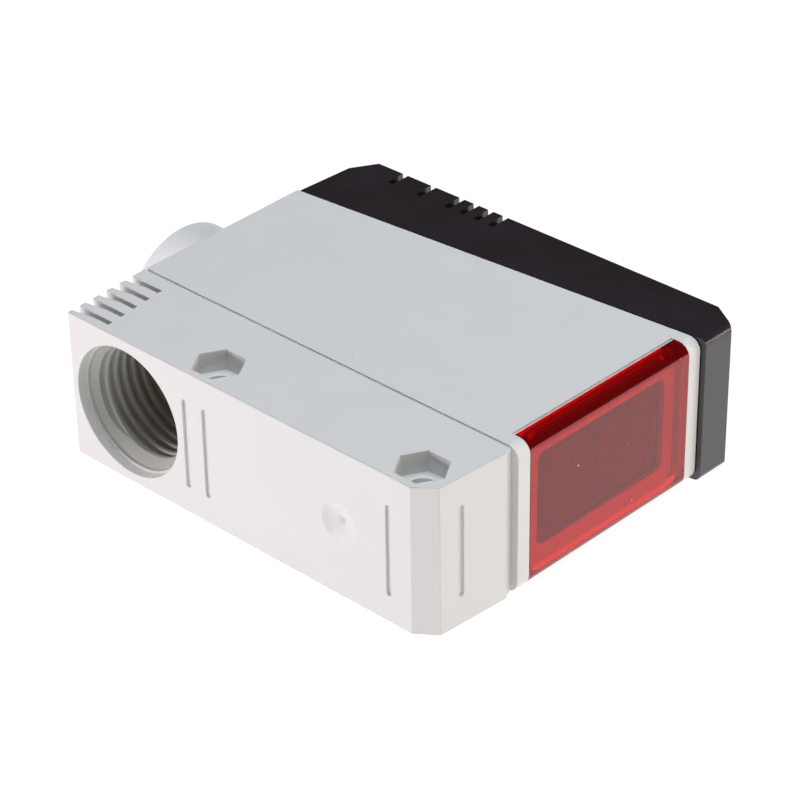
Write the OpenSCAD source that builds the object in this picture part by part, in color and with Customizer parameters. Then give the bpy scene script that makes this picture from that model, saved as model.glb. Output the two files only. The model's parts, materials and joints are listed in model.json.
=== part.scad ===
// Terminal-type photoelectric sensor in a flat block housing, lying on its large side.
// +X points out of the window, +Y from the threaded cable entry to the black cover, +Z up.

/* [Body] */
// Thickness of the block, the same for base, head, window and cover
body_t = 25; // [25:0.5:32]
// Wall thickness of the moulded housings
wall = 1.8; // [1.6:0.1:2.2]
// Height from the cable entry face to the end of the cover
body_h = 65.4; // [63:0.1:80]
// Length of the head at the seam above the base
head_l = 75; // [74:0.1:90]
// Forward lean of the head's front, in degrees
front_lean = 1.4; // [0:0.1:2.5]
// Radius of the two long front edges
nose_r = 2.1; // [1.9:0.1:3]
// Gap between pieces that push together
fit_gap = 0.15; // [0.1:0.01:0.2]

/* [Base] */
// Height of the base up to the seam
base_h = 16.3; // [16:0.1:18]
// Height of the seam that the base gasket fills
seam_h = 0.4; // [0.3:0.05:0.8]
// Depth of the seam groove all round
seam_in = 0.5; // [0.4:0.05:1]
// Height of the ledge below the seam at the front
ledge_h = 1.1; // [0.6:0.1:1.6]
// Depth of that ledge
ledge_in = 0.5; // [0.3:0.05:0.7]
// Distance that the head's front stands proud of the base's
base_back = 0.65; // [0.4:0.05:0.8]
// Draft of the base's rear face, in degrees
base_rear_draft = 2.3; // [0:0.1:3]
// Draft of the base's front face, in degrees
base_front_draft = 5; // [3:0.1:6]
// Length along the cable entry face of the chamfer at its front
base_chamfer_l = 3.1; // [1:0.1:4]
// Height of that chamfer
base_chamfer = 2.4; // [1:0.1:3]
// Height of the tongue that enters the head
tongue_h = 2.2; // [1.8:0.1:2.4]

/* [Cable entry] */
// Distance of the entry's axis from the head's rear face
port_x = 12.45; // [12.3:0.05:13]
// Height of the entry's axis above the resting side
port_z = 12.3; // [12.2:0.05:12.8]
// Radius of the entry's wall at the root of its thread, G 1/2
port_r = 10.48; // [9:0.01:10.5]
// Radius of the plain relief at the mouth
port_mouth_r = 10.83; // [10.6:0.01:10.9]
// Depth of that relief
port_mouth_h = 1.6; // [0.5:0.1:2]
// Depth of the threaded part, to the shoulder
port_depth = 14.2; // [12:0.1:14.6]
// Radius of the wire way above the shoulder
port_way_r = 8.4; // [7:0.1:8.8]
// Wall round the entry where the rear corners are cored out
port_wall = 1.5; // [1.2:0.1:1.6]

/* [Mounting holes] */
// Distance between the two mounting holes
bolt_pitch = 40; // [39:0.1:41]
// Distance of the front hole from the head's rear face
bolt_x = 67.9; // [67:0.1:68.4]
// Distance of the holes from the cable entry face
bolt_y = 4.75; // [4.6:0.05:5]
// Diameter of the holes
bolt_d = 4.5; // [4:0.1:4.6]
// Width across flats of the nut pockets
nut_af = 7.2; // [7:0.05:7.4]
// Depth of the nut pockets
nut_h = 3.4; // [3:0.1:4]

/* [Base details] */
// Number of slots in each cored-out rear corner
fin_slots = 5; // [1:1:5]
// Distance between those slots
fin_pitch = 2.8; // [2.6:0.01:2.85]
// Width of a slot
fin_slot_w = 0.95; // [0.6:0.05:1.2]
// Distance of the first slot from the cable entry face
fin_first = 1.53; // [1.2:0.01:2]
// Depth of the first slot from the rear face
fin_slot_l = 7.2; // [5:0.1:8]
// How much shorter each following slot is
fin_slot_step = 0.17; // [0:0.01:0.3]
// How much wider each slot is at the rear face
fin_flare_w = 0.75; // [0.2:0.05:0.9]
// Depth at which that widening ends
fin_flare_l = 4; // [2:0.1:4.2]
// Length of the shallow slots in the base's faces
mark_l = 15.5; // [8:0.1:17]
// Width of the shallow slots
mark_w = 0.95; // [0.5:0.05:1.5]
// Depth of the shallow slots
mark_h = 0.4; // [0.2:0.05:0.8]
// How far the ones on the cable entry face lie below its middle
mark_drop = 0.3; // [0:0.05:0.5]
// Place of the first shallow slot on the cable entry face
mark_x1 = 25.15; // [24.5:0.05:26]
// Place of the second one
mark_x2 = 29.25; // [28:0.05:31]
// Place of the third one
mark_x3 = 65.65; // [62:0.05:66]
// Place of the shallow slot on the base's front face
mark_front_y = 6.4; // [5:0.1:9]
// Place of the round dimple along the cable entry face
dimple_x = 56.1; // [40:0.1:60]
// Diameter of the dimple
dimple_d = 6.7; // [4:0.1:8]
// Depth of the dimple
dimple_h = 0.75; // [0.3:0.05:1]

/* [Rear spigot] */
// Radius of the closed spigot on the head's back
spigot_r = 11.85; // [9:0.05:12]
// Length of the spigot
spigot_l = 6.4; // [3:0.1:12]
// Height of its axis above the cable entry face
spigot_y = 29.7; // [29.2:0.1:33]
// Chamfer of its end
spigot_chamfer = 0.5; // [0.2:0.1:1]

/* [Cover] */
// Height of the parting line at the head's rear face
part_y0 = 49.65; // [49.4:0.05:51]
// Slope of the parting line, in degrees
part_tilt = 5.04; // [4.8:0.02:5.3]
// Shadow gap along the parting line
part_gap = 0.2; // [0.1:0.05:0.4]
// How far the cover stands proud of the head's front
cover_proud = 0.85; // [0:0.05:1.2]
// How far the cover's rear face stands back from the head's at the parting line
cover_back = 0.4; // [0:0.05:0.8]
// Inward lean of the cover's rear face, in degrees
cover_rear_lean = 3.8; // [0:0.1:5]
// Slope of the cover's end, in degrees
end_tilt = 0.63; // [0:0.01:1]
// Length along the end of the rear corner's chamfer
cover_chamfer_x = 2.6; // [1:0.1:4]
// Height of the rear corner's chamfer
cover_chamfer_y = 4.25; // [2:0.05:6]
// Length along the end of the front corner's chamfer
cover_corner_x = 4.75; // [3:0.05:6]
// Height of the front corner's chamfer
cover_corner_y = 2.9; // [2:0.1:4]
// Radius of the cover's long front edges
cover_nose_r = 1.2; // [0.8:0.1:2]
// Length of the slots over the cover's end edge
slot_l = 3.7; // [2:0.1:4]
// Width of those slots
slot_w = 1.1; // [0.6:0.05:1.2]
// Depth of those slots
slot_h = 1; // [0.4:0.05:1.2]
// Place of the first slot, from the head's rear face
slot_x = 9.5; // [8:0.1:14]
// Distance between the close slots, half that between the wide ones
slot_pitch = 3.01; // [2:0.01:3.2]

/* [Window] */
// Lower edge of the window, from the cable entry face
window_y0 = 19.2; // [19.1:0.1:20]
// Height of the window
window_h = 34.65; // [33:0.05:34.8]
// Depth that the window wraps back over the long sides
window_wrap = 2.95; // [2.8:0.05:3.5]
// Step in the head's long sides behind the window
window_step_l = 0.5; // [0.2:0.05:1]
// Depth of that step
window_step_h = 0.3; // [0.1:0.05:0.5]
// Thickness of the window's front
window_t = 1.8; // [1.4:0.1:1.9]
// Thickness of the wrapped lips along the long sides
lip_t = 1.35; // [1.1:0.05:1.5]
// Thickness of the lips at the two ends
flange_t = 1; // [0.8:0.05:1.2]
// Corner radius inside the window
pocket_r = 2; // [1:0.1:3]
// Thickness of the window seat's two ends
seat_t = 2.3; // [2:0.05:3.2]
// Gap between the window's front and its seat
seat_drop = 0.8; // [0.1:0.05:1]

/* [Optics] */
// Width of one lens barrel
barrel_w = 12.5; // [12:0.1:13]
// Height of a barrel
barrel_h = 15; // [14:0.1:15.4]
// Corner radius of a barrel
barrel_r = 4; // [3:0.1:5]
// Wall of a barrel
barrel_wall = 1; // [0.8:0.1:1.2]
// Distance from the window's inner face to the filters
filter_back = 1; // [0.2:0.05:1.2]
// Thickness of a polarising filter
filter_t = 0.5; // [0.3:0.05:0.8]
// Width of a filter
filter_w = 13.65; // [13:0.05:13.7]
// Height of a filter
filter_h = 15.7; // [15:0.1:16.5]
// Radius of the filters' outer corners
filter_r = 1.2; // [0.5:0.1:2]
// Length of the lens holder
holder_l = 17.3; // [16:0.1:20]
// Depth of the divider between the barrels below their rims
divider_drop = 1.9; // [0.5:0.1:3]
// Depth of a lens's crown below the rim
lens_drop = 2; // [1:0.1:3]
// Thickness of a lens at its crown
lens_t = 4.8; // [4.4:0.1:6]
// Radius of a lens's front surface
lens_crown_r = 9.6; // [9:0.1:14]
// Width of the step that a lens sits on
lens_seat = 0.8; // [0.5:0.05:1]
// Height by which the web between the barrels fills the notch of their round corners
web_h = 1.2; // [0.8:0.1:2]

/* [Controls] */
// Radius of the sensitivity adjuster
adjuster_r = 3; // [2.5:0.1:3.2]
// Radius of the light and dark selector
selector_r = 2.2; // [1.8:0.1:2.4]
// Running clearance round both
turn_gap = 0.06; // [0.04:0.01:0.1]
// Radius of the indicator lamps
lamp_r = 1.5; // [1.2:0.1:1.6]
// Width of the sensitivity control's body
trimmer_w = 9.5; // [9:0.1:10]
// Width of the selector's body
switch_w = 7.4; // [7:0.1:8]
// Thickness of the panel under the cover
deck_t = 1.5; // [1.2:0.1:1.8]
// Thickness of the cover's gasket
seal_h = 1; // [0.8:0.1:1.2]
// Thickness of the cover's skirt
skirt_t = 1.4; // [1.2:0.1:1.6]

/* [Electronics] */
// Thickness of the circuit boards
board_t = 1.6; // [1:0.1:1.6]
// Height of the main board above the long wall
board_rise = 3.2; // [2.8:0.1:4]
// Number of terminals
poles = 5; // [3:1:5]
// Distance between terminals
pole_pitch = 5.08; // [5:0.01:5.1]
// Length of the output relay
relay_l = 19; // [15:0.5:19]
// Length of the supply transformer
transformer_l = 15; // [12:0.5:15]
// Radius of the smoothing capacitor
capacitor_r = 2.9; // [2:0.1:2.9]
// Radius of the surge varistor
varistor_r = 3; // [2.5:0.1:3]

/* [Hidden] */
$fn = 64;
over = 1;              // how far a cutting tool runs past what it cuts
far = 100;             // reach of a tool that has to clear the whole part

// Main heights and faces
seam_y = base_h + seam_h;
front_slope = tan(front_lean);
function head_front(y) = head_l + (y - seam_y) * front_slope;
function cover_front(y) = head_front(y) + cover_proud;
function part_y(x) = part_y0 + x * tan(part_tilt);
rear_end = -spigot_l;
front_end = cover_front(body_h - cover_corner_y);
corner_x = front_end - cover_corner_x;
function end_y(x) = body_h - (corner_x - x) * tan(end_tilt);
mid_x = (rear_end + front_end) / 2;
mid_y = body_h / 2;
mid_z = body_t / 2;
ceiling = body_t - wall;

// Base
ledge_y = base_h - ledge_h;
base_front_top = head_l - base_back;
function base_rear(y) = (ledge_y - y) * tan(base_rear_draft);
function base_front(y) = base_front_top - (ledge_y - y) * tan(base_front_draft);
bolt_rear_x = bolt_x - bolt_pitch;
pocket_wall = 1.3;
pocket_y = bolt_y + nut_af / 2 + pocket_wall;
tray_x0 = port_x + port_r + 2 * wall;
core_x0 = bolt_rear_x + nut_af;
core_x1 = bolt_x - nut_af;
rib_t = 1.5;
port_outer_r = port_r + port_wall;

// Window
window_y1 = window_y0 + window_h;
window_mid_y = (window_y0 + window_y1) / 2;
seat_back = 2.5;       // how far the window's seat reaches behind its edge
chamber_top = window_y1 - flange_t;

// Optics
filter_x = head_front(window_y0) - window_t - filter_back;
filter_y0 = window_mid_y - filter_w;
optics_front = filter_x - filter_t;
optics_back = optics_front - holder_l;
emitter_y = window_mid_y - barrel_w / 2;
receiver_y = window_mid_y + barrel_w / 2;
cell_w = barrel_w - 2 * barrel_wall;
cell_h = barrel_h - 2 * barrel_wall;
cell_r = barrel_r - barrel_wall;
web_w = 2;             // the web's width, most of it inside the barrels
divider_z = cell_h / 2 - cell_r - 0.4;
crown_x = optics_front - lens_drop;
seat_x = crown_x - lens_t;
plate_t = 1.5;         // back plate of the lens holder
plate_foot = 1.9;      // from the base's tongue to the plate
plate_y0 = base_h + tongue_h + plate_foot;
optics_board_x = optics_back - board_t;
led_r = 2.5;
led_l = 4.6;
led_foot = 0.4;        // how far the foot of a lamp stands out
detector_w = 5;
detector_l = 2.5;

// Mouth under the cover, panel and skirt
bulkhead_t = 1.5;
mouth_x1 = optics_board_x - fit_gap - bulkhead_t;
deck_drop = 4.65;      // from the parting line at the rear to the panel
deck_y = part_y0 - deck_drop;
deck_top = deck_y + deck_t;
skirt_y = deck_top + seal_h;
rib_h = 3;
screw_head_r = 1.8;
screw_head_h = 1.3;
screw_slot_l = 2;
screw_slot_w = 0.4;
screw_r = 0.8;
screw_gap = 0.1;
pilot_r = 0.85;
rib_l = fit_gap + skirt_t + 2 * screw_head_r + 0.5;
deck_screw_x = [wall + rib_l - screw_head_r, mouth_x1 - rib_l + screw_head_r];
ledge_w = 1;
rim_t = 2;             // plate round the mouth of the cover

// Boards
board_z = wall + board_rise;
board_top_z = board_z + board_t;
board_side = 2.2;
board_end_gap = 0.8;
board_foot = 2.7;      // from the base's tongue to the main board
control_drop = 4.2;    // from the panel to the control board
board_x0 = wall + board_side;
board_x1 = optics_board_x - board_end_gap;
board_y0 = base_h + tongue_h + board_foot;
control_top = deck_y - control_drop;
control_y = control_top - board_t;
board_y1 = deck_y - rib_h - 0.2;
control_z = (board_top_z + ceiling) / 2;
post_r = 2.3;
post_in = 3;
post_drop = 2.4;
post_x = [board_x0 + post_in, board_x1 - post_in];
post_y = [board_y0 + post_in, control_y - post_drop];

// Controls
control_in = 5;
control_edge = 2;
control_space = 3;
lamp_space = 9;
lamp_pitch = 6;
lamp_edge = 4;
control_x0 = wall + control_in;
trimmer_x = control_x0 + trimmer_w / 2 + control_edge;
switch_x = trimmer_x + trimmer_w / 2 + switch_w / 2 + control_space;
lamp_x = [switch_x + lamp_space, switch_x + lamp_space + lamp_pitch];
control_x1 = lamp_x[1] + lamp_edge;
rotor_slot_h = 1.6;    // depth of the screwdriver slots, and their widths
trimmer_slot_w = 0.9;
switch_slot_w = 0.8;
body_gap = 0.3;        // gap between a control's body and the panel
flange_r = 0.7;        // how far a rotor's flange stands out
flange_h = 0.9;
floor_h = 0.8;
seat_gap = 0.05;       // running gap above and below a rotor's flange

// Main board's two rows of components
part_space = 1.5;
row_foot = 4.3;
lower_row_y = board_y0 + row_foot;
upper_row_y = control_y - 0.4;
row_gap = 0.3;
row_w = upper_row_y - lower_row_y - max(capacitor_r, varistor_r) - row_gap;
transformer_x = post_x[0] + post_r + 1.2;
transformer_h = 12;
bobbin_h = 8.4;
bobbin_in = 2;         // how far the winding's bobbin stands out of the core, and back from its ends
relay_x = transformer_x + transformer_l + part_space;
relay_h = 10.5;
chip_l = 9.9;
chip_w = 3.9;
chip_h = 1.5;
chip_x = transformer_x + 0.5;
lead_t = 0.3;
lead_w = 0.4;
lead_out = 0.9;
capacitor_x = chip_x + chip_l + capacitor_r + part_space + 0.6;
capacitor_h = 11;
varistor_t = 3.5;
part_gap_x = 2.5;
varistor_x = capacitor_x + capacitor_r + part_gap_x;
rectifier_x = varistor_x + varistor_t + part_gap_x + 0.2;
rectifier_l = 6;
rectifier_w = 4;
rectifier_h = 2.6;
header_l = 2.5;
header_pins = 3;
header_pitch = 2;
header_pin_r = 0.3;

// Terminals
block_gap = 0.3;
block_x0 = tray_x0 + 0.4;
block_l = poles * pole_pitch + 2.2;
block_y0 = pocket_y + block_gap;
block_y1 = plate_y0 - block_gap;
block_z0 = board_z - 0.2;
block_d = 12;
function pole_x(i) = block_x0 + 1.1 + (i + 0.5) * pole_pitch;
cell_wall = 1.9;
clamp_gap = 0.1;
clamp_w = pole_pitch - 1.5;
clamp_h = 5.4;
clamp_t = 0.6;         // thickness of a clamp's sides, of its foot and of its threaded head
clamp_foot = 0.8;
clamp_head = 1.2;
wire_h = 2.6;
clamp_z = board_top_z + clamp_foot;
pin_w = 1;
pin_t = clamp_z - board_top_z;
pin_end_y = board_y0 + 1;
clamp_y0 = block_y0 + cell_wall + clamp_gap;
clamp_y1 = block_y1 - cell_wall - clamp_gap;
clamp_mid_y = (clamp_y0 + clamp_y1) / 2;
terminal_screw_r = 1.25;
terminal_head_r = 1.7;
terminal_head_h = 1.4;
terminal_screw_l = 2.4;
terminal_slot_w = 0.5;

module placed() {
    translate([-mid_x, -mid_y, 0]) children();
}

// A solid along Y from an outline in X and Z
module prism_y(y0, y1) {
    translate([0, y1, 0]) rotate([90, 0, 0]) linear_extrude(y1 - y0) children();
}

// A solid along X from an outline in Y and Z
module prism_x(x0, x1) {
    translate([x0, 0, 0]) rotate([90, 0, 90]) linear_extrude(x1 - x0) children();
}

module rod_y(x, y, z, r, l) {
    translate([x, y, z]) rotate([-90, 0, 0]) cylinder(r = r, h = l);
}

module rod_x(x, y, z, r, l) {
    translate([x, y, z]) rotate([0, 90, 0]) cylinder(r = r, h = l);
}

module block(x0, x1, y0, y1, z0, z1) {
    translate([x0, y0, z0]) cube([x1 - x0, y1 - y0, z1 - z0]);
}

module round_rect(w, h, r) {
    for (x = [-1, 1], y = [-1, 1]) translate([x * (w / 2 - r), y * (h / 2 - r)]) circle(r);
    square([w - 2 * r, h], center = true);
    square([w, h - 2 * r], center = true);
}

// A frame that leans with the head's front: X is the distance out of the front
module on_front() {
    translate([head_l, seam_y, 0]) rotate([0, 0, -front_lean]) children();
}

// A bar's outline whose far side has two round corners, made smaller by a distance
module round_front(l, inset, edge) {
    r = edge - inset;
    front = l - inset;
    if (r > 0.1) {
        translate([-far, inset]) square([far + front - r, body_t - 2 * inset]);
        translate([-far, inset + r]) square([far + front, body_t - 2 * (inset + r)]);
        for (z = [inset + r, body_t - inset - r]) translate([front - r, z]) circle(r);
    } else {
        translate([-far, inset]) square([far + front, body_t - 2 * inset]);
    }
}

// The leaning block behind the front, with round long edges, made smaller by a distance
module nose(inset, proud = 0, edge = nose_r) {
    on_front() prism_y(-far / 2, far) round_front(proud, inset, edge);
}

// Everything from a depth behind the front to another
module front_slab(depth, to = -over) {
    on_front() translate([-depth, -far / 2, -over]) cube([depth - to, 2 * far, body_t + 2 * over]);
}

// A rounded rectangular bar behind the front, centred on the window
module window_bar(w, h, r, depth, to) {
    on_front() translate([0, (window_mid_y - seam_y) / cos(front_lean), mid_z])
        prism_x(-depth, -to) round_rect(w, h, r);
}

// Everything under the sloping parting line, and everything over it
module under_parting(drop) {
    translate([0, part_y0 - drop, 0]) rotate([0, 0, part_tilt])
        translate([-far, -far, -far / 2]) cube([3 * far, far, far + body_t]);
}

module over_parting(lift) {
    translate([0, part_y0 + lift, 0]) rotate([0, 0, part_tilt])
        translate([-far, 0, -far / 2]) cube([3 * far, far, far + body_t]);
}

// Snap ridges on both long sides, or the grooves for them
module latches(y, x_list, out, clear) {
    l = 8;
    h = 0.8;
    for (x = x_list, z = [wall - out, ceiling - fit_gap - 0.2])
        block(x - clear, x + l + clear, y - clear, y + h + clear, z, z + out + fit_gap + 0.2);
}

base_latch_x = [28, 50];
base_latch_y = base_h + tongue_h - 1.2;
cover_latch_x = [8, 34];
cover_latch_y = skirt_y + 0.7;
latch_out = 0.35;
latch_clear = 0.1;

// Outline of the base from above, up to the seam
module base_plan() {
    polygon([[base_rear(0), 0], [base_front(0) - base_chamfer_l, 0], [base_front(base_chamfer), base_chamfer],
        [base_front_top, ledge_y], [base_front_top - ledge_in, ledge_y], [base_front_top - ledge_in, base_h],
        [0, base_h], [0, ledge_y]]);
}

module fin_slots() {
    for (i = [0 : fin_slots - 1]) {
        y = fin_first + i * fin_pitch;
        bend_x = base_rear(y) + fin_flare_l;
        end_x = base_rear(y) + fin_slot_l - i * fin_slot_step;
        y0 = y - fin_flare_w * (bend_x + over) / fin_flare_l;
        y1 = y + fin_slot_w;
        difference() {
            translate([0, 0, -over]) linear_extrude(body_t + 2 * over)
                polygon([[-over, y0], [bend_x, y], [end_x, y], [end_x, y1], [-over, y1]]);
            rod_y(port_x, y0 - over, port_z, port_outer_r, y1 - y0 + 2 * over);
            block(-2 * over, port_x, y0 - over, y1 + over, port_z - port_r / 2, port_z + port_r / 2);
        }
    }
}

module marks() {
    for (x = [mark_x1, mark_x2, mark_x3]) translate([x, mark_h, mid_z - mark_drop]) rotate([90, 0, 0])
        linear_extrude(mark_h + over) round_rect(mark_w, mark_l, mark_w / 2 - 0.01);
    translate([base_front(mark_front_y), mark_front_y, mid_z]) rotate([0, 0, -base_front_draft])
        prism_x(-mark_h, over) round_rect(mark_w, mark_l, mark_w / 2 - 0.01);
}

module dimple() {
    r = (dimple_d * dimple_d / 4 + dimple_h * dimple_h) / (2 * dimple_h);
    translate([dimple_x, dimple_h - r, mid_z]) sphere(r, $fn = 96);
}

module nut_pocket(x) {
    translate([x, bolt_y, body_t - nut_h]) cylinder(d = nut_af / cos(30), h = nut_h + over, $fn = 6);
    translate([x, bolt_y, -over]) cylinder(d = bolt_d, h = body_t + 2 * over);
}

// The wide terminal tray, and the core between the mounting holes with its ribs
module base_hollow() {
    block(tray_x0, base_front(pocket_y) - wall, pocket_y, base_h + over, wall, ceiling);
    core_l = (core_x1 - core_x0 - rib_t) / 2;
    for (x = [core_x0, core_x1 - core_l]) block(x, x + core_l, wall, pocket_y + over, wall, ceiling);
}

module terminal_base() {
    color([0.91, 0.905, 0.89]) placed() difference() {
        union() {
            linear_extrude(body_t) base_plan();
            intersection() {
                nose(wall + fit_gap);
                block(wall + fit_gap, far, base_h - over, base_h + tongue_h, 0, body_t);
            }
            latches(base_latch_y, base_latch_x, latch_out, 0);
        }
        intersection() {
            nose(wall + fit_gap + skirt_t);
            block(wall + fit_gap + skirt_t, base_front(pocket_y) - wall, base_h, far, 0, body_t);
        }
        base_hollow();
        rod_y(port_x, -over, port_z, port_mouth_r, port_mouth_h + over);
        rod_y(port_x, -over, port_z, port_r, port_depth + over);
        rod_y(port_x, -over, port_z, port_way_r, base_h + 2 * over);
        nut_pocket(bolt_x);
        nut_pocket(bolt_rear_x);
        fin_slots();
        marks();
        dimple();
    }
}

module base_gasket() {
    color([0.2, 0.2, 0.2]) placed() difference() {
        block(seam_in, base_front_top - ledge_in - seam_in / 3, base_h, seam_y, seam_in, body_t - seam_in);
        intersection() {
            nose(wall + fit_gap);
            block(wall + fit_gap, far, base_h - over, seam_y + over, 0, body_t);
        }
    }
}

module spigot() {
    rod_x(rear_end + spigot_chamfer, spigot_y, mid_z, spigot_r, spigot_l);
    translate([rear_end, spigot_y, mid_z]) rotate([0, 90, 0])
        cylinder(r1 = spigot_r - spigot_chamfer, r2 = spigot_r, h = spigot_chamfer);
}

// The head's outer form
module head_form() {
    intersection() {
        nose(0);
        block(0, far, seam_y, far, 0, body_t);
        under_parting(0);
    }
    spigot();
}

// The hollow inside it, with the mouth under the cover and the opening for the window
module head_hollow() {
    intersection() {
        nose(wall);
        block(wall, far, seam_y - over, chamber_top, 0, body_t);
    }
    rod_x(rear_end + wall, spigot_y, mid_z, spigot_r - wall, spigot_l + wall);
    block(wall, mouth_x1, deck_y, far, wall, ceiling);
    intersection() {
        front_slab(window_wrap);
        block(0, far, window_y0, window_y1, -over, body_t + over);
    }
    intersection() {
        front_slab(window_wrap + window_step_l);
        block(0, far, window_y0, window_y1, -over, body_t + over);
        union() {
            block(0, far, 0, far, -over, window_step_h);
            block(0, far, 0, far, body_t - window_step_h, body_t + over);
        }
    }
}

// The frame that the window is pushed over
module window_seat() {
    w = window_h - 2 * (flange_t + fit_gap);
    h = body_t - 2 * (lip_t + fit_gap);
    r = pocket_r - fit_gap;
    open_w = max(w - 2 * seat_t, 2 * (barrel_w + fit_gap), 2 * (filter_w + fit_gap));
    open_h = max(barrel_h, filter_h) + 2 * fit_gap;
    difference() {
        window_bar(w, h, r, window_wrap + seat_back, window_t + seat_drop + fit_gap);
        window_bar(open_w, open_h, filter_r + fit_gap, far, -over);
    }
}

module board_posts() {
    for (x = post_x, y = post_y) translate([x, y, wall - over / 2])
        cylinder(r = post_r, h = board_rise + over / 2);
}

// Ribs, ledges and bulkhead that carry the panel and the optics board
module deck_seat() {
    grip = 0.4;
    for (x = [wall - grip, mouth_x1 - rib_l])
        block(x, x + rib_l + grip, deck_y - rib_h, deck_y, wall - grip, ceiling + grip);
    for (z = [wall - grip, ceiling - ledge_w])
        block(wall, mouth_x1, deck_y - rib_h / 2, deck_y, z, z + ledge_w + grip);
    block(mouth_x1 + grip / 2, mouth_x1 + bulkhead_t, deck_y - rib_h, chamber_top + grip,
        wall - grip, ceiling + grip);
}

module main_housing() {
    color([0.82, 0.835, 0.845]) placed() difference() {
        union() {
            difference() {
                head_form();
                head_hollow();
            }
            window_seat();
            board_posts();
            deck_seat();
        }
        for (x = post_x, y = post_y) translate([x, y, wall / 2]) cylinder(r = pilot_r, h = board_z);
        for (x = deck_screw_x) rod_y(x, deck_y - rib_h - over, mid_z, pilot_r, rib_h + 2 * over);
        latches(base_latch_y, base_latch_x, latch_out + latch_clear, latch_clear);
        latches(cover_latch_y, cover_latch_x, latch_out + latch_clear, latch_clear);
    }
}

module front_window() {
    color([0.7, 0.02, 0.04, 0.6]) placed() difference() {
        intersection() {
            nose(0);
            front_slab(window_wrap - fit_gap / 3);
            block(0, far, window_y0 + fit_gap / 3, window_y1 - fit_gap / 3, 0, body_t);
        }
        window_bar(window_h - 2 * flange_t, body_t - 2 * lip_t, pocket_r, far, window_t);
    }
}

// Everything in a plan on the right-hand side of a line through a point, less a distance
module beside(x, y, angle, inset) {
    translate([x, y]) rotate(angle) translate([-2 * far, -4 * far - inset]) square([4 * far, 4 * far]);
}

// Outline of the cover from above, made smaller by a distance
module cover_plan(inset = 0) {
    bend_y = end_y(0) - cover_chamfer_y;
    bend_x = cover_back + (bend_y - part_y0) * tan(cover_rear_lean);
    intersection() {
        beside(bend_x, bend_y, 90 - cover_rear_lean, inset);
        beside(bend_x, bend_y, atan2(cover_chamfer_y, cover_chamfer_x), inset);
        beside(corner_x, body_h, end_tilt, inset);
        beside(corner_x, body_h, -atan2(cover_corner_y, cover_corner_x), inset);
    }
}

module cover_form(inset = 0) {
    intersection() {
        nose(inset, cover_proud, cover_nose_r);
        translate([0, 0, -over]) linear_extrude(body_t + 2 * over) cover_plan(inset);
    }
}

// Slots over the end of the cover, two wide spaces and three narrow ones
module cover_slots() {
    for (i = [0, 2, 4, 5, 6, 7]) {
        x = slot_x + i * slot_pitch - slot_w / 2;
        block(x, x + slot_w, end_y(x) - slot_h, far, -over, body_t + over);
        block(x, x + slot_w, end_y(x) - slot_l, far, -over, slot_h);
        block(x, x + slot_w, end_y(x) - slot_l, far, body_t - slot_h, body_t + over);
    }
}

// The ring in the mouth of the head, with the same outline for skirt and gasket
module mouth_block(inset, y0, y1) {
    side = fit_gap + inset;
    block(wall + side, mouth_x1 - side, y0, y1, wall + side, ceiling - side);
}

module top_cover() {
    color([0.06, 0.06, 0.065]) placed() difference() {
        union() {
            difference() {
                intersection() {
                    cover_form();
                    over_parting(part_gap);
                }
                intersection() {
                    cover_form(wall);
                    over_parting(part_gap + rim_t);
                }
            }
            intersection() {
                mouth_block(0, skirt_y, far);
                under_parting(-part_gap - rim_t / 2);
            }
            latches(cover_latch_y, cover_latch_x, latch_out, 0);
        }
        mouth_block(skirt_t, skirt_y - over, part_y(mouth_x1) + part_gap + rim_t + over);
        cover_slots();
    }
}

module cover_gasket() {
    color([0.15, 0.15, 0.15]) placed() difference() {
        mouth_block(0, deck_top, skirt_y);
        mouth_block(skirt_t, deck_top - over, skirt_y + over);
    }
}

// Lens holder: two rounded barrels on one back plate
module barrel_bar(y, w, h, r, x0, x1) {
    prism_x(x0, x1) translate([y, mid_z]) round_rect(w, h, r);
}

module back_plate(x, t) {
    block(x, x + t, plate_y0, chamber_top - fit_gap, wall + fit_gap, ceiling - fit_gap);
}

module lens_holder() {
    color([0.07, 0.07, 0.075]) placed() difference() {
        union() {
            for (y = [emitter_y, receiver_y])
                barrel_bar(y, barrel_w, barrel_h, barrel_r, optics_back, optics_front);
            barrel_bar(window_mid_y, web_w, barrel_h - 2 * barrel_r + 2 * web_h, web_w / 4,
                optics_back, optics_front);
            back_plate(optics_back, plate_t);
        }
        for (y = [emitter_y, receiver_y]) {
            barrel_bar(y, cell_w, cell_h, cell_r, seat_x, far);
            barrel_bar(y, cell_w - 2 * lens_seat, cell_h - 2 * lens_seat, cell_r - lens_seat / 2,
                optics_back + plate_t, far);
        }
        block(optics_front - divider_drop, far, emitter_y, receiver_y, mid_z - divider_z, mid_z + divider_z);
        rod_x(optics_back - over, emitter_y, mid_z, led_r + led_foot + fit_gap, plate_t + 2 * over);
        barrel_bar(receiver_y, detector_w + 2 * fit_gap, detector_w + 2 * fit_gap, 0.3,
            optics_back - over, optics_back + plate_t + over);
    }
}

module lens(y) {
    intersection() {
        barrel_bar(y, cell_w - 2 * fit_gap, cell_h - 2 * fit_gap, cell_r - fit_gap, seat_x, far);
        translate([crown_x - lens_crown_r, y, mid_z]) sphere(lens_crown_r, $fn = 96);
    }
}

module emitter_lens() {
    color([0.6, 0.1, 0.1, 0.6]) placed() lens(emitter_y);
}

module receiver_lens() {
    color([0.6, 0.1, 0.1, 0.6]) placed() lens(receiver_y);
}

module filter(y) {
    intersection() {
        barrel_bar(window_mid_y, 2 * filter_w, filter_h, filter_r, optics_front, filter_x);
        block(optics_front - over, filter_x + over, y, y + filter_w, 0, body_t);
    }
}

module emitter_polariser() {
    color([0.3, 0.28, 0.3, 0.5]) placed() filter(filter_y0);
}

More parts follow.
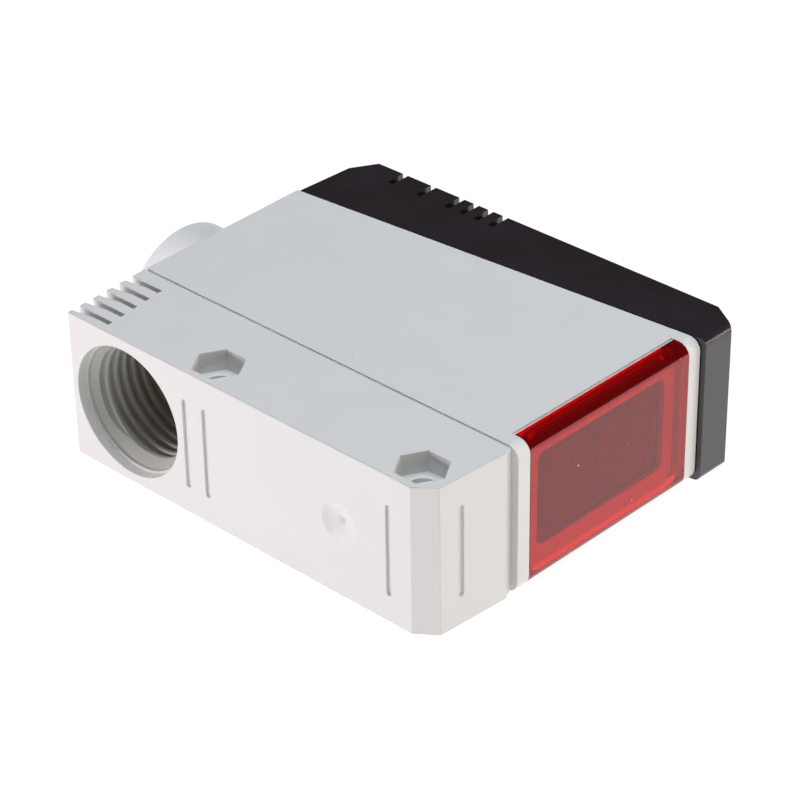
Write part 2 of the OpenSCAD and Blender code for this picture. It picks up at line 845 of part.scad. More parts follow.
module receiver_polariser() {
    color([0.3, 0.28, 0.3, 0.5]) placed() filter(filter_y0 + filter_w);
}

module optics_board() {
    color([0.1, 0.35, 0.18]) placed() back_plate(optics_board_x, board_t);
}

module emitter_led() {
    color([0.85, 0.2, 0.2]) placed() {
        rod_x(optics_back, emitter_y, mid_z, led_r + led_foot, 1);
        rod_x(optics_back, emitter_y, mid_z, led_r, led_l);
        translate([optics_back + led_l, emitter_y, mid_z]) sphere(led_r);
    }
}

module receiver_photodiode() {
    color([0.15, 0.15, 0.17]) placed() {
        barrel_bar(receiver_y, detector_w, detector_w, 0.2, optics_back, optics_back + detector_l);
        translate([optics_back + detector_l - 0.4, receiver_y, mid_z]) sphere(1.6);
    }
}

// Right-angle pin row from the main board's front edge to the optics board
module optics_header() {
    mid = (post_y[0] + post_y[1]) / 2;
    w = header_pins * header_pitch;
    color([0.1, 0.1, 0.1]) placed() {
        block(board_x1 - header_l, board_x1, mid - w / 2, mid + w / 2, board_top_z, board_top_z + header_l);
        for (i = [0 : header_pins - 1])
            rod_x(board_x1 - header_l / 2, mid + (i + 0.5) * header_pitch - w / 2,
                board_top_z + header_l / 2, header_pin_r, optics_board_x - board_x1 + header_l / 2);
    }
}

module main_board() {
    color([0.1, 0.35, 0.18]) placed() difference() {
        block(board_x0, board_x1, board_y0, board_y1, board_z, board_top_z);
        for (x = post_x, y = post_y) translate([x, y, board_z - over])
            cylinder(r = screw_r + screw_gap, h = board_t + 2 * over);
    }
}

module screw(l) {
    difference() {
        union() {
            cylinder(r = screw_head_r, h = screw_head_h);
            translate([0, 0, -l]) cylinder(r = screw_r, h = l + screw_head_h / 2);
        }
        for (a = [0, 90]) rotate([0, 0, a])
            translate([-screw_slot_l / 2, -screw_slot_w / 2, screw_head_h / 2])
                cube([screw_slot_l, screw_slot_w, screw_head_h]);
    }
}

module board_screws() {
    color([0.75, 0.75, 0.77]) placed()
        for (x = post_x, y = post_y) translate([x, y, board_top_z]) screw(board_t + board_rise);
}

module output_relay() {
    color([0.1, 0.25, 0.5]) placed()
        block(relay_x, relay_x + relay_l, upper_row_y - row_w, upper_row_y,
            board_top_z, board_top_z + relay_h);
}

// Laminated core with the winding's bobbin standing out on both sides
module supply_transformer() {
    y0 = upper_row_y - row_w;
    color([0.35, 0.3, 0.28]) placed() {
        block(transformer_x, transformer_x + transformer_l, y0 + bobbin_in, upper_row_y - bobbin_in,
            board_top_z, board_top_z + transformer_h);
        block(transformer_x + bobbin_in, transformer_x + transformer_l - bobbin_in, y0, upper_row_y,
            board_top_z, board_top_z + bobbin_h);
    }
}

module smoothing_capacitor() {
    color([0.12, 0.12, 0.2]) placed() translate([capacitor_x, lower_row_y, board_top_z]) {
        cylinder(r = capacitor_r, h = capacitor_h);
    }
}

module surge_varistor() {
    axis_z = board_top_z + varistor_r + 1;
    color([0.15, 0.35, 0.6]) placed() {
        rod_x(varistor_x, lower_row_y, axis_z, varistor_r, varistor_t);
        for (y = [-1.5, 1.5]) translate([varistor_x + varistor_t / 2, lower_row_y + y, board_top_z])
            cylinder(r = 0.35, h = varistor_r);
    }
}

module bridge_rectifier() {
    color([0.1, 0.1, 0.1]) placed()
        block(rectifier_x, rectifier_x + rectifier_l, lower_row_y - rectifier_w / 2,
            lower_row_y + rectifier_w / 2, board_top_z, board_top_z + rectifier_h);
}

module control_chip() {
    leads = 7;
    pitch = chip_l / leads;
    color([0.1, 0.1, 0.1]) placed() {
        block(chip_x, chip_x + chip_l, lower_row_y - chip_w / 2, lower_row_y + chip_w / 2,
            board_top_z + lead_t / 2, board_top_z + lead_t / 2 + chip_h);
        for (i = [0 : leads - 1])
            translate([chip_x + (i + 0.5) * pitch, lower_row_y, board_top_z + lead_t / 2])
                cube([lead_w, chip_w + 2 * lead_out, lead_t], center = true);
    }
}

module control_board() {
    color([0.1, 0.35, 0.18]) placed()
        block(control_x0, control_x1, control_y, control_top, board_top_z, ceiling - fit_gap);
}

// Body of a turned control: a socket that holds the rotor's flange under its lid
module control_body(x, w, r) {
    difference() {
        block(x - w / 2, x + w / 2, control_top, deck_y - body_gap, control_z - w / 2, control_z + w / 2);
        rod_y(x, control_top + floor_h, control_z, r + flange_r + turn_gap, flange_h + 2 * seat_gap);
        rod_y(x, control_top + floor_h, control_z, r + turn_gap, far);
    }
}

module rotor(x, r) {
    foot_y = control_top + floor_h + seat_gap;
    rod_y(x, foot_y, control_z, r + flange_r, flange_h);
    rod_y(x, foot_y, control_z, r, deck_top - 0.3 - foot_y);
}

module sensitivity_trimmer() {
    color([0.15, 0.3, 0.6]) placed() control_body(trimmer_x, trimmer_w, adjuster_r);
}

// Slot for a flat screwdriver, with a pointer notch at one end
module sensitivity_adjuster() {
    color([0.9, 0.88, 0.8]) placed() difference() {
        rotor(trimmer_x, adjuster_r);
        block(trimmer_x - trimmer_slot_w / 2, trimmer_x + trimmer_slot_w / 2, deck_top - rotor_slot_h, far,
            control_z - adjuster_r + 0.6, control_z + adjuster_r + over);
    }
}

module mode_switch() {
    color([0.15, 0.15, 0.15]) placed() control_body(switch_x, switch_w, selector_r);
}

module mode_selector() {
    color([0.85, 0.35, 0.1]) placed() difference() {
        rotor(switch_x, selector_r);
        block(switch_x - switch_slot_w / 2, switch_x + switch_slot_w / 2, deck_top - rotor_slot_h, far,
            control_z - selector_r + 0.5, control_z + selector_r + over);
    }
}

module lamp(x) {
    rod_y(x, control_top, control_z, lamp_r + led_foot, 1);
    rod_y(x, control_top, control_z, lamp_r, deck_top - control_top - 0.2);
    translate([x, deck_top - 0.2, control_z]) sphere(lamp_r);
}

module output_indicator() {
    color([0.9, 0.5, 0.1]) placed() lamp(lamp_x[0]);
}

module stability_indicator() {
    color([0.1, 0.7, 0.2]) placed() lamp(lamp_x[1]);
}

module control_deck() {
    color([0.85, 0.85, 0.84]) placed() difference() {
        block(wall + fit_gap, mouth_x1 - fit_gap, deck_y, deck_top, wall + fit_gap, ceiling - fit_gap);
        rod_y(trimmer_x, deck_y - over, control_z, adjuster_r + turn_gap, deck_t + 2 * over);
        rod_y(switch_x, deck_y - over, control_z, selector_r + turn_gap, deck_t + 2 * over);
        for (x = lamp_x) rod_y(x, deck_y - over, control_z, lamp_r + fit_gap, deck_t + 2 * over);
        for (x = deck_screw_x) rod_y(x, deck_y - over, mid_z, screw_r + screw_gap, deck_t + 2 * over);
    }
}

module deck_screws() {
    color([0.75, 0.75, 0.77]) placed()
        for (x = deck_screw_x) translate([x, deck_top, mid_z]) rotate([-90, 0, 0])
            screw(deck_t + rib_h - body_gap);
}

// Terminal block with one cell for each clamp, a screw well above it and a wire hole towards the head
module terminal_block() {
    color([0.2, 0.2, 0.21]) placed() difference() {
        block(block_x0, block_x0 + block_l, block_y0, block_y1, block_z0, block_z0 + block_d);
        for (i = [0 : poles - 1]) {
            x = pole_x(i);
            w = clamp_w / 2 + clamp_gap;
            block(x - w, x + w, clamp_y0 - clamp_gap, clamp_y1 + clamp_gap, clamp_z, far);
            block(x - pin_w / 2, x + pin_w / 2, clamp_y0, far, board_top_z, clamp_z);
            block(x - w + clamp_t, x + w - clamp_t, clamp_mid_y, far, clamp_z + clamp_foot,
                clamp_z + clamp_foot + wire_h);
        }
    }
}

module terminal_clamps() {
    color([0.8, 0.78, 0.7]) placed() for (i = [0 : poles - 1]) {
        x = pole_x(i);
        difference() {
            block(x - clamp_w / 2, x + clamp_w / 2, clamp_y0, clamp_y1, clamp_z, clamp_z + clamp_h);
            block(x - clamp_w / 2 + clamp_t, x + clamp_w / 2 - clamp_t, clamp_y0 - over, clamp_y1 + over,
                clamp_z + clamp_foot, clamp_z + clamp_h - clamp_head);
            translate([x, clamp_mid_y, clamp_z + clamp_head]) cylinder(r = terminal_screw_r, h = clamp_h);
        }
    }
}

module terminal_screws() {
    top = clamp_z + clamp_h;
    color([0.85, 0.8, 0.6]) placed() for (i = [0 : poles - 1])
        translate([pole_x(i), clamp_mid_y, top]) difference() {
            union() {
                cylinder(r = terminal_head_r, h = terminal_head_h);
                translate([0, 0, -terminal_screw_l])
                    cylinder(r = terminal_screw_r - 0.03, h = terminal_screw_l + terminal_head_h / 2);
            }
            translate([-far / 2, -terminal_slot_w / 2, terminal_head_h / 2])
                cube([far, terminal_slot_w, over]);
        }
}

// Square pins from under the clamps to the main board's edge
module link_pins() {
    color([0.85, 0.8, 0.6]) placed() for (i = [0 : poles - 1])
        block(pole_x(i) - pin_w / 2, pole_x(i) + pin_w / 2, clamp_y0, pin_end_y,
            board_top_z, board_top_z + pin_t);
}

terminal_base();
main_housing();
top_cover();
front_window();
base_gasket();
cover_gasket();
lens_holder();
emitter_lens();
receiver_lens();
emitter_polariser();
receiver_polariser();
optics_board();
emitter_led();
receiver_photodiode();
optics_header();
main_board();
output_relay();
supply_transformer();
smoothing_capacitor();
surge_varistor();
bridge_rectifier();
control_chip();
control_board();
sensitivity_trimmer();
sensitivity_adjuster();
mode_switch();
mode_selector();
output_indicator();
stability_indicator();
control_deck();
deck_screws();
terminal_block();
terminal_clamps();
terminal_screws();
link_pins();
board_screws();
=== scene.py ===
"""Looks of a terminal-type photoelectric sensor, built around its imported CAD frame."""
import json
import math

import bmesh
import bpy
from mathutils import Matrix, Vector


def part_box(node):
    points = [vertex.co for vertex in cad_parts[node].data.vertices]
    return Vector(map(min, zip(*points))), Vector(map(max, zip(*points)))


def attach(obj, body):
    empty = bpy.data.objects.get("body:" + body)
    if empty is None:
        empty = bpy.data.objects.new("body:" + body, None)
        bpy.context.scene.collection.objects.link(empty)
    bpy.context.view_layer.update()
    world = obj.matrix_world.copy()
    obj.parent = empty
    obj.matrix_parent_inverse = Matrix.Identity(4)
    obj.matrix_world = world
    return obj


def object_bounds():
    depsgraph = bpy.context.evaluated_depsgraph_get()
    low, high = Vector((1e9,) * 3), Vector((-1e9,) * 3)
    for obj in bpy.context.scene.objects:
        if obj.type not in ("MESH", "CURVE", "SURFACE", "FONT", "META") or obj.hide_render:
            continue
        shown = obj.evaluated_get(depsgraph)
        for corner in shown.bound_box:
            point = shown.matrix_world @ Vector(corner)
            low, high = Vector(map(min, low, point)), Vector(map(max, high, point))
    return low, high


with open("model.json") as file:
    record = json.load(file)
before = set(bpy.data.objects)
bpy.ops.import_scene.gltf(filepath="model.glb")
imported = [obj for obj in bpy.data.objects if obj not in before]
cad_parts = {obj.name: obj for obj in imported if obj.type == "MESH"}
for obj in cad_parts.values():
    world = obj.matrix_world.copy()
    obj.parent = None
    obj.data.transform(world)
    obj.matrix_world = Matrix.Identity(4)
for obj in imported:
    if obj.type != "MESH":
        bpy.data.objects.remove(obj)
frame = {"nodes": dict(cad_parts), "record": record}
cad_low, cad_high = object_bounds()
nodes = frame["nodes"]
scene = bpy.context.scene
MM = 0.001

# The base's lowest corner, from which part.scad's lengths are measured, and the block's middle height
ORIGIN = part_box("terminal_base")[0]
MID_Z = (cad_low[2] + cad_high[2]) / 2


def place(x, y, z):
    """A point given in part.scad's own millimetres, in the frame."""
    return ORIGIN + Vector((x, y, z)) * MM


def depth(y):
    """The frame's own Y of a depth behind the entry face, given in millimetres."""
    return place(0, y, 0).y


# Camera: the photograph's own viewpoint, solved from the block's edges

CAMERA_AT = (267.115, -281.6, 259.0)
CAMERA_RIGHT = (0.73481, 0.67815, -0.0129)
CAMERA_DOWN = (0.35963, -0.40566, -0.8403)
CAMERA_AHEAD = (-0.57508, 0.61283, -0.54196)
SENSOR_W = 36
FOCAL_LENGTH = 136.55
SHIFT_X = -0.0033
SHIFT_Y = -0.002
CLIP_NEAR = 0.01
CLIP_FAR = 20


def make_camera():
    data = bpy.data.cameras.new("camera")
    data.sensor_width = SENSOR_W
    data.lens = FOCAL_LENGTH
    data.shift_x = SHIFT_X
    data.shift_y = SHIFT_Y
    data.clip_start = CLIP_NEAR
    data.clip_end = CLIP_FAR
    camera = bpy.data.objects.new("camera", data)
    scene.collection.objects.link(camera)
    turn = Matrix((Vector(CAMERA_RIGHT), -Vector(CAMERA_DOWN), -Vector(CAMERA_AHEAD))).transposed()
    camera.matrix_world = Matrix.Translation(Vector(CAMERA_AT) * MM) @ turn.to_4x4()
    scene.camera = camera


# Colours and shader nodes

NOISE_SPAN = (0.3, 0.7)    # the part of a noise that colour or roughness is spread over
MIX_BASE = 6               # a colour mix node's sockets
MIX_OVER = 7
MIX_RESULT = 2


def srgb(*values):
    """Linear values for a colour written in screen values from 0 to 255."""
    out = []
    for value in values:
        share = value / 255
        out.append(share / 12.92 if share <= 0.04045 else ((share + 0.055) / 1.055) ** 2.4)
    return (*out, 1)


def grey(value):
    return (value, value, value, 1)


def scaled(colour, factor):
    """A colour made lighter or darker."""
    return tuple(min(1, c * factor) for c in colour[:3]) + (1,)


class Shade:
    """A material's node tree with short calls for the nodes used here."""

    def __init__(self, name):
        self.mat = bpy.data.materials.new(name)
        self.mat.use_nodes = True
        self.tree = self.mat.node_tree
        self.tree.nodes.clear()
        self.out = self.add("OutputMaterial")
        self.body = self.add("BsdfPrincipled")
        self.link(self.body, 0, self.out, 0)
        self.coord = self.add("TexCoord")

    def add(self, kind, **settings):
        node = self.tree.nodes.new("ShaderNode" + kind)
        for key, value in settings.items():
            setattr(node, key, value)
        return node

    def link(self, source, out, target, into):
        self.tree.links.new(source.outputs[out], target.inputs[into])

    def set(self, **values):
        for key, value in values.items():
            self.body.inputs[key.replace("_", " ")].default_value = value

    def axes(self):
        """The object's own coordinates, split."""
        split = self.add("SeparateXYZ")
        self.link(self.coord, "Object", split, 0)
        return split

    def noise(self, size_mm, detail=2.0):
        node = self.add("TexNoise")
        node.inputs["Scale"].default_value = 1 / (size_mm * MM)
        node.inputs["Detail"].default_value = detail
        self.link(self.coord, "Object", node, "Vector")
        return node

    def ramp(self, source, out, low, high, at=(0.0, 1.0)):
        node = self.add("ValToRGB")
        node.color_ramp.elements[0].position = at[0]
        node.color_ramp.elements[1].position = at[1]
        node.color_ramp.elements[0].color = low
        node.color_ramp.elements[1].color = high
        self.link(source, out, node, 0)
        return node

    def span(self, source, out, start, end, **settings):
        """A value that goes from 0 to 1 between two values of its source."""
        node = self.add("MapRange", **settings)
        node.inputs["From Min"].default_value = start
        node.inputs["From Max"].default_value = end
        self.link(source, out, node, "Value")
        return node

    def dots(self, apart_mm, size, soft):
        """A mask of round specks; size and soft edge are shares of their distance."""
        cells = self.add("TexVoronoi", feature="F1")
        cells.inputs["Scale"].default_value = 1 / (apart_mm * MM)
        self.link(self.coord, "Object", cells, "Vector")
        return self.ramp(cells, "Distance", grey(1), grey(0), (size, size + soft))

    def mix(self, mask, base, colour):
        """The base, with a colour where the mask is white."""
        node = self.add("Mix", data_type="RGBA")
        self.link(mask, 0, node, 0)
        self.link(base, 0, node, MIX_BASE)
        node.inputs[MIX_OVER].default_value = colour
        return node

    def roughness(self, source, rough, low, high):
        """A roughness that wanders between two shares of its value."""
        spread = self.ramp(source, 0, grey(rough * low), grey(rough * high), NOISE_SPAN)
        self.link(spread, 0, self.body, "Roughness")

    def bump(self, source, out, height_mm, below=None):
        node = self.add("Bump")
        node.inputs["Distance"].default_value = height_mm * MM
        self.link(source, out, node, "Height")
        if below is not None:
            self.link(below, 0, node, "Normal")
        self.link(node, 0, self.body, "Normal")
        return node


# Plastics

EDGE_R = 0.22              # how round the moulded edges look, and the entry face's upper edge
FACE_EDGE_R = 0.6
FACE_EDGE_Z = (1.2, 0.7)   # how far under and behind it that radius begins to grow, and is full
FACE_EDGE_Y = (1.1, 0.7)
EDGE_SAMPLES = 6
DRIFT_MM = 9               # sizes of the noises that change the colour, the gloss and the surface
GLOSS_MM = 1.6
WAVE_MM = 7
DRIFT_SPAN = (0.35, 0.65)
SPECK_APART_MM = 6
SPECK_SOFT = 0.006
SPECK_COLOUR = srgb(90, 88, 86)


def edge_rounding(shade, radius_mm, face_radius_mm):
    """Rounds the shading over edges, and more along the upper edge of the entry face."""
    split = shade.axes()
    height = shade.span(split, "Z", *[cad_high[2] - under * MM for under in FACE_EDGE_Z])
    front = shade.span(split, "Y", *[depth(behind) for behind in FACE_EDGE_Y])
    both = shade.add("Math", operation="MULTIPLY")
    shade.link(height, 0, both, 0)
    shade.link(front, 0, both, 1)
    radius = shade.add("MapRange")
    radius.inputs["To Min"].default_value = radius_mm * MM
    radius.inputs["To Max"].default_value = face_radius_mm * MM
    shade.link(both, 0, radius, "Value")
    edge = shade.add("Bevel", samples=EDGE_SAMPLES)
    shade.link(radius, 0, edge, "Radius")
    return edge


def moulded(name, colour, rough, grain_mm=0.12, grain_height=0.004, wave_height=0.01, shift=0.02,
            specks=0.0, gloss=0.5, edge_mm=0.0, face_edge_mm=0.0):
    """Moulded plastic: fine grain, faint sink waves, slight colour drift and a few dust specks."""
    shade = Shade(name)
    drift = shade.noise(DRIFT_MM, detail=3)
    base = shade.ramp(drift, 0, scaled(colour, 1 - shift), scaled(colour, 1 + shift), DRIFT_SPAN)
    if specks:
        dusty = shade.mix(shade.dots(SPECK_APART_MM, specks, SPECK_SOFT), base, SPECK_COLOUR)
        shade.link(dusty, MIX_RESULT, shade.body, "Base Color")
    else:
        shade.link(base, 0, shade.body, "Base Color")
    shade.roughness(shade.noise(GLOSS_MM), rough, low=0.9, high=1.1)
    shade.body.inputs["Specular IOR Level"].default_value = gloss
    rounded = edge_rounding(shade, edge_mm, face_edge_mm) if edge_mm else None
    wave = shade.bump(shade.noise(WAVE_MM, detail=1), 0, wave_height, below=rounded)
    shade.bump(shade.noise(grain_mm), 0, grain_height, below=wave)
    return shade.mat


def shell_plastic(name, face_edge_mm):
    """The pale grey plastic of base and head."""
    return moulded(name, srgb(228, 228, 227), 0.42, wave_height=0.003, shift=0.008, specks=0.012,
                   edge_mm=EDGE_R, face_edge_mm=face_edge_mm)


BORE_PALE_Y = 3.6          # depth to which the entry's painted shade stays pale, and where it is darkest
BORE_SHADE_Y = 12
BORE_PALE = srgb(204, 205, 198)
BORE_PAINTED_SHADE = srgb(166, 162, 151)
BORE_GRAIN_MM = 0.3


def bore_plastic(name):
    """The base's plastic in the cable entry, a little duller, with painted shade that darkens its colour
    with depth.
    """
    shade = Shade(name)
    inward = shade.span(shade.axes(), "Y", depth(BORE_PALE_Y), depth(BORE_SHADE_Y))
    # painted shade: the colour goes from pale to dark with depth in the bore
    shade.link(shade.ramp(inward, 0, BORE_PALE, BORE_PAINTED_SHADE), 0, shade.body, "Base Color")
    shade.set(Roughness=0.5)
    shade.bump(shade.noise(BORE_GRAIN_MM), 0, height_mm=0.006)
    return shade.mat


def clear(name, tint, rough=0.02, ior=1.49):
    """Transparent plastic."""
    shade = Shade(name)
    shade.set(Base_Color=tint, Roughness=rough, IOR=ior)
    shade.body.inputs["Transmission Weight"].default_value = 1
    return shade.mat


# The window

WINDOW_FLAT = (1.0, 0.014, 0.02, 1)
WINDOW_EDGE = (0.78, 0.008, 0.012, 1)
WINDOW_DEPTH = (1.0, 0.1, 0.12, 1)
WINDOW_DEPTH_MM = 1.5
WINDOW_IOR = 1.58
HAZE_EDGE = 0.12           # how milky the thick round edges look, and the flat middle
HAZE_FLAT = 0.02
ROUND_EDGES = (2.5, 0.9)   # how far inside the block's sides the round edges begin, and are full
DUST_APART_MM = 4.2
DUST_SIZE = 0.03
DUST_SOFT = 0.01
DUST_COLOUR = srgb(250, 215, 205)


def window_plastic(name):
    """Red polycarbonate: clear in the flat middle, denser in its thick round edges, a little dusty."""
    shade = Shade(name)
    shade.set(Roughness=0.015, IOR=WINDOW_IOR)
    centred = shade.add("Math", operation="SUBTRACT")
    centred.inputs[1].default_value = MID_Z
    shade.link(shade.axes(), "Z", centred, 0)
    away = shade.add("Math", operation="ABSOLUTE")
    shade.link(centred, 0, away, 0)
    reach = [cad_high[2] - MID_Z - inside * MM for inside in ROUND_EDGES]
    near_edge = shade.span(away, 0, *reach, interpolation_type="SMOOTHSTEP")
    dust = shade.dots(DUST_APART_MM, DUST_SIZE, DUST_SOFT)
    red = shade.ramp(near_edge, 0, WINDOW_FLAT, WINDOW_EDGE)
    shade.link(shade.mix(dust, red, DUST_COLOUR), MIX_RESULT, shade.body, "Base Color")
    clearness = shade.ramp(near_edge, 0, grey(1 - HAZE_FLAT), grey(1 - HAZE_EDGE))
    shade.link(shade.mix(dust, clearness, grey(0)), MIX_RESULT, shade.body, "Transmission Weight")
    inside = shade.add("VolumeAbsorption")
    inside.inputs["Color"].default_value = WINDOW_DEPTH
    inside.inputs["Density"].default_value = 1 / (WINDOW_DEPTH_MM * MM)
    shade.link(inside, 0, shade.out, "Volume")
    return shade.mat


# Metals and boards

BRUSH_MM = 0.4
TRACK_APART_MM = 14
TRACK_SHARE = 0.03         # a track's width as a share of their distance


def metal(name, colour, rough=0.3):
    """Plain metal with a fine uneven finish."""
    shade = Shade(name)
    brush = shade.noise(BRUSH_MM, detail=3)
    shade.set(Metallic=1.0)
    shade.link(shade.ramp(brush, 0, scaled(colour, 0.9), colour, NOISE_SPAN), 0, shade.body, "Base Color")
    shade.roughness(brush, rough, low=0.8, high=1.25)
    shade.bump(brush, 0, height_mm=0.004)
    return shade.mat


def board(name):
    """Circuit board: green mask over faint copper tracks."""
    shade = Shade(name)
    tracks = shade.add("TexBrick")
    tracks.inputs["Scale"].default_value = 1 / (TRACK_APART_MM * MM)
    tracks.inputs["Mortar Size"].default_value = TRACK_SHARE
    tracks.inputs["Color1"].default_value = srgb(20, 82, 50)
    tracks.inputs["Color2"].default_value = srgb(18, 76, 46)
    tracks.inputs["Mortar"].default_value = srgb(38, 112, 70)
    shade.link(shade.coord, "Object", tracks, "Vector")
    shade.link(tracks, "Color", shade.body, "Base Color")
    shade.set(Roughness=0.3)
    shade.bump(tracks, "Fac", height_mm=0.02)
    return shade.mat


MATERIALS = {
    "base_plastic": lambda name: shell_plastic(name, FACE_EDGE_R),
    "grey_plastic": lambda name: shell_plastic(name, EDGE_R),
    "black_gloss": lambda name: moulded(name, srgb(45, 39, 43), 0.2, grain_mm=0.2, grain_height=0.001,
                                        wave_height=0.006, shift=0.1, gloss=0.85),
    "red_window": window_plastic,
    "gasket_grey": lambda name: moulded(name, srgb(236, 237, 235), 0.7),
    "holder_black": lambda name: moulded(name, srgb(18, 17, 19), 0.5),
    "lens_clear": lambda name: clear(name, (0.98, 0.96, 0.95, 1), 0.03),
    "filter_film": lambda name: clear(name, (0.42, 0.4, 0.41, 1), 0.03, ior=1.33),
    "board_green": board,
    "relay_blue": lambda name: moulded(name, srgb(20, 60, 130), 0.3),
    "core_steel": lambda name: metal(name, srgb(120, 112, 104), 0.5),
    "sleeve_blue": lambda name: moulded(name, srgb(24, 26, 60), 0.3),
    "varistor_blue": lambda name: moulded(name, srgb(28, 90, 150), 0.4),
    "chip_black": lambda name: moulded(name, srgb(26, 26, 27), 0.5),
    "led_red": lambda name: moulded(name, srgb(190, 40, 30), 0.15),
    "detector_dark": lambda name: moulded(name, srgb(36, 30, 38), 0.15),
    "screw_steel": lambda name: metal(name, srgb(205, 205, 208), 0.25),
    "terminal_brass": lambda name: metal(name, srgb(205, 180, 120), 0.3),
    "block_grey": lambda name: moulded(name, srgb(48, 48, 50), 0.45),
    "deck_grey": lambda name: moulded(name, srgb(222, 222, 219), 0.45),
    "rotor_cream": lambda name: moulded(name, srgb(228, 222, 200), 0.35),
    "rotor_orange": lambda name: moulded(name, srgb(220, 110, 30), 0.35),
    "lamp_orange": lambda name: clear(name, (0.9, 0.35, 0.04, 1), 0.1),
    "lamp_green": lambda name: clear(name, (0.05, 0.6, 0.12, 1), 0.1),
}


def dress_nodes():
    """Gives every CAD node the material of its slot."""
    made = {}
    for sub in frame["record"]["subparts"]:
        slot = sub["material_slot"]
        if slot not in made:
            made[slot] = MATERIALS[slot](slot)
        mesh = nodes[sub["node"]].data
        mesh.materials.clear()
        mesh.materials.append(made[slot])
    return made


# Edges and added pieces

BASE_BEVEL_MM = 0.2
SHARP_ANGLE = 28
WELD_MM = 0.002


def soften(node, width_mm):
    """Rounds a node's sharp edges slightly, as moulded edges are."""
    obj = nodes[node]
    weld = obj.modifiers.new("weld", "WELD")
    weld.merge_threshold = WELD_MM * MM
    bevel = obj.modifiers.new("bevel", "BEVEL")
    bevel.width = width_mm * MM
    bevel.segments = 2
    bevel.limit_method = "ANGLE"
    bevel.angle_limit = math.radians(SHARP_ANGLE)
    bevel.use_clamp_overlap = True
    bevel.harden_normals = True


def skin(bm, rings):
    """Faces between each ring of points and the one after it, and from the last back to the first."""
    for i, ring in enumerate(rings):
        after = rings[(i + 1) % len(rings)]
        for j in range(len(ring)):
            k = (j + 1) % len(ring)
            bm.faces.new((ring[j], ring[k], after[k], after[j]))


def new_piece(name, bm, material, body):
    """A smooth piece that rides on a body and counts for a material slot."""
    bmesh.ops.recalc_face_normals(bm, faces=bm.faces)
    for face in bm.faces:
        face.smooth = True
    mesh = bpy.data.meshes.new(name)
    bm.to_mesh(mesh)
    bm.free()
    mesh.materials.append(material)
    obj = bpy.data.objects.new(name, mesh)
    scene.collection.objects.link(obj)
    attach(obj, body)


# Thread of the cable entry: the record gives its bore, and depths count from the bore's outer end

ENTRY = next(mount for mount in frame["record"]["mounts"] if mount["name"] == "cable_entry")
AXIS_X, BORE_MID_Y, AXIS_Z = ENTRY["pos_m"]
BORE_R = ENTRY["dims"]["r_mm"]
BORE_L = ENTRY["dims"]["length_mm"]
BORE_Y = BORE_MID_Y - BORE_L / 2 * MM
SLEEVE_Y0 = 0.02           # the threaded sleeve's two ends, just inside the bore's
SLEEVE_Y1 = BORE_L - 0.05
WALL_GAP = 0.06            # between the thread's root and the bore
WALL_BITE = 0.42           # how deep the sleeve's outer skin lies in the wall
THREAD_H = 1.09
ROOT_R = BORE_R - WALL_GAP
CREST_R = ROOT_R - THREAD_H
SLEEVE_R = BORE_R + WALL_BITE
PITCH = 1.814
CREST_Y = 3.15             # depth and angle of the first crest, on the rear side of the bore
CREST_ANGLE = 180
ROOT_SHARE = 0.12          # shares of the wave's height that are cut flat at the root, and that slope
SLOPE_SHARE = 0.7
LEAD_Y0 = 0.5              # the lead-in cone's two ends
LEAD_Y1 = 2.3
RUN_START = 246            # angle where the first groove begins, and over how much it deepens
RUN_LENGTH = 60
THREAD_STEPS = 120
THREAD_ROWS = 126


def thread_radius(angle, y):
    """Inner radius at an angle round the axis in degrees and a depth in the bore."""
    turn = (y - CREST_Y) / PITCH - (CREST_ANGLE - angle) / 360
    wave = 0.5 + 0.5 * math.cos(2 * math.pi * turn)
    wave = min(1, max(0, (wave - ROOT_SHARE) / SLOPE_SHARE))
    wave = wave * wave * (3 - 2 * wave)
    along = math.floor(turn) + 1 + (RUN_START - angle) / 360
    grown = min(1, max(0, along * 360 / RUN_LENGTH))
    groove = (ROOT_R - CREST_R) * (1 - wave) * grown
    lead = ROOT_R + (CREST_R - ROOT_R) * (y - LEAD_Y0) / (LEAD_Y1 - LEAD_Y0)
    return min(ROOT_R, max(CREST_R + groove, lead))


def bore_ring(bm, y, radius):
    """A ring of points round the entry's axis, with its radius as a function of the angle."""
    ring = []
    for i in range(THREAD_STEPS):
        angle = 360 * i / THREAD_STEPS
        r = radius(angle) * MM
        x = AXIS_X + r * math.cos(math.radians(angle))
        z = AXIS_Z + r * math.sin(math.radians(angle))
        ring.append(bm.verts.new((x, BORE_Y + y * MM, z)))
    return ring


def make_thread(material):
    """The threaded sleeve in the entry: an inner skin with the thread and a plain outer one."""
    bm = bmesh.new()
    rings = []
    for j in range(THREAD_ROWS + 1):
        y = SLEEVE_Y0 + (SLEEVE_Y1 - SLEEVE_Y0) * j / THREAD_ROWS
        rings.append(bore_ring(bm, y, lambda angle: thread_radius(angle, y)))
    for y in (SLEEVE_Y1, SLEEVE_Y0):
        rings.append(bore_ring(bm, y, lambda angle: SLEEVE_R))
    skin(bm, rings)
    new_piece("entry_thread", bm, material, "housing")


# The gate mark in the base's dimple

GATE = (56.0, 0.73, 12.7)  # the mark's centre
GATE_R = 0.62
GATE_WALL = 0.09           # half the ring's thickness
GATE_STUB_R = 0.3
GATE_STUB_SHAPE = (1, 0.4, 0.8)
GATE_STEPS = 40
GATE_SIDES = 10


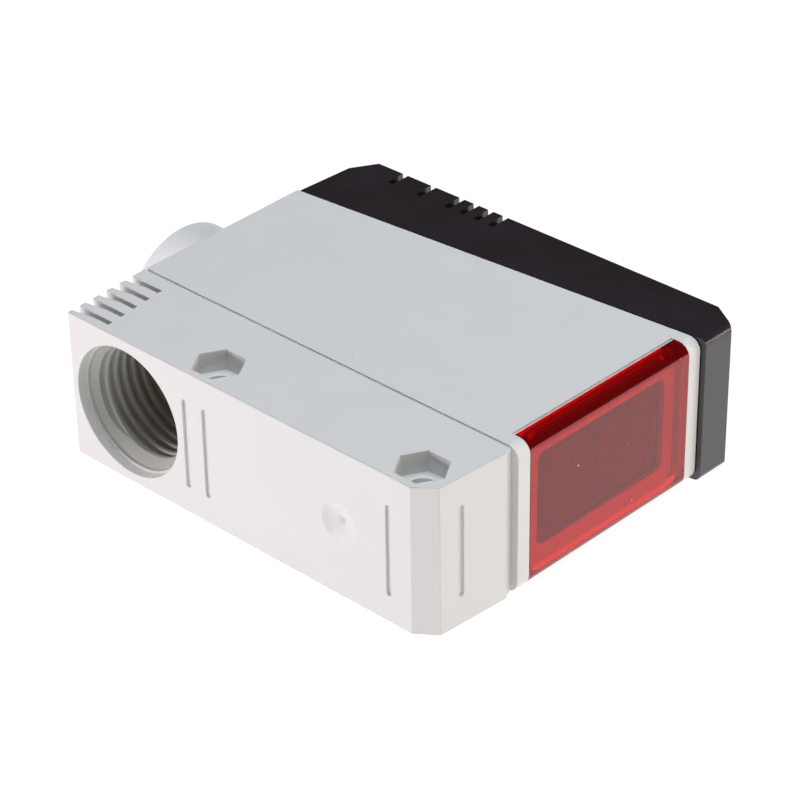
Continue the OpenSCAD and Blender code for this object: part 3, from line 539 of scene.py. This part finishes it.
def make_gate_mark(material):
    """A low ring with a short stub in it, as the mould's gate leaves on the plastic."""
    bm = bmesh.new()
    rings = []
    for i in range(GATE_STEPS):
        angle = 2 * math.pi * i / GATE_STEPS
        ring = []
        for j in range(GATE_SIDES):
            side = 2 * math.pi * j / GATE_SIDES
            r = GATE_R + GATE_WALL * math.cos(side)
            x = GATE[0] + r * math.cos(angle)
            y = GATE[1] + GATE_WALL * math.sin(side)
            z = GATE[2] + r * math.sin(angle)
            ring.append(bm.verts.new(place(x, y, z)))
        rings.append(ring)
    skin(bm, rings)
    stub = bmesh.ops.create_uvsphere(bm, u_segments=20, v_segments=10, radius=GATE_STUB_R * MM)
    bmesh.ops.scale(bm, verts=stub["verts"], vec=GATE_STUB_SHAPE)
    bmesh.ops.translate(bm, verts=stub["verts"], vec=place(*GATE))
    new_piece("gate_mark", bm, material, "housing")


# Stage and light

SKY = (0.02, 0.02, 0.021, 1)
FLOOR_GLOW = 0.94
FLOOR_GREY = 0.12
FLOOR_REACH = 6


def make_stage():
    """A white glowing floor under a nearly black sky, as in a light tent that is open at the back."""
    mesh = bpy.data.meshes.new("floor")
    signs = ((-1, -1), (1, -1), (1, 1), (-1, 1))
    mesh.from_pydata([(FLOOR_REACH * a, FLOOR_REACH * b, 0) for a, b in signs], [], [(0, 1, 2, 3)])
    floor = bpy.data.objects.new("floor", mesh)
    scene.collection.objects.link(floor)
    shade = Shade("floor")
    shade.set(Base_Color=grey(FLOOR_GREY), Roughness=0.9)
    shade.set(Emission_Color=grey(1), Emission_Strength=FLOOR_GLOW)
    mesh.materials.append(shade.mat)

    world = bpy.data.worlds.new("world")
    scene.world = world
    world.use_nodes = True
    world.node_tree.nodes["Background"].inputs["Color"].default_value = SKY
    world.node_tree.nodes["Background"].inputs["Strength"].default_value = 1


# Each lamp's name, place and size in metres, and power in watts for red, green and blue
LAMPS = (
    ("top_light", (0.02, 0.0, 0.7), (0.5, 0.5), (3.54, 3.78, 3.98)),
    ("left_light", (-0.33, -0.57, 0.07), (0.4, 0.12), (2.4, 2.1, 2.16)),
    ("right_light", (0.22, 0.32, 0.07), (0.18, 0.12), (0.6, 0.525, 0.482)),
    ("front_light", (0.5, 0.06, 0.1), (0.2, 0.15), (0.522, 0.424, 0.37)),
)


def softbox(name, at, size, power):
    """An area lamp that faces the object."""
    data = bpy.data.lights.new(name, "AREA")
    data.shape = "RECTANGLE"
    data.size, data.size_y = size
    data.energy = max(power)
    data.color = [p / max(power) for p in power]
    lamp = bpy.data.objects.new(name, data)
    scene.collection.objects.link(lamp)
    lamp.location = at
    lamp.rotation_mode = "QUATERNION"
    lamp.rotation_quaternion = (-Vector(at)).to_track_quat("-Z", "Y")


make_camera()
materials = dress_nodes()
soften("terminal_base", BASE_BEVEL_MM)
# the thread in the entry is coloured with the bore's painted shade
make_thread(bore_plastic("bore_plastic"))
make_gate_mark(materials["base_plastic"])
make_stage()
for lamp in LAMPS:
    softbox(*lamp)

scene.view_settings.view_transform = "Standard"
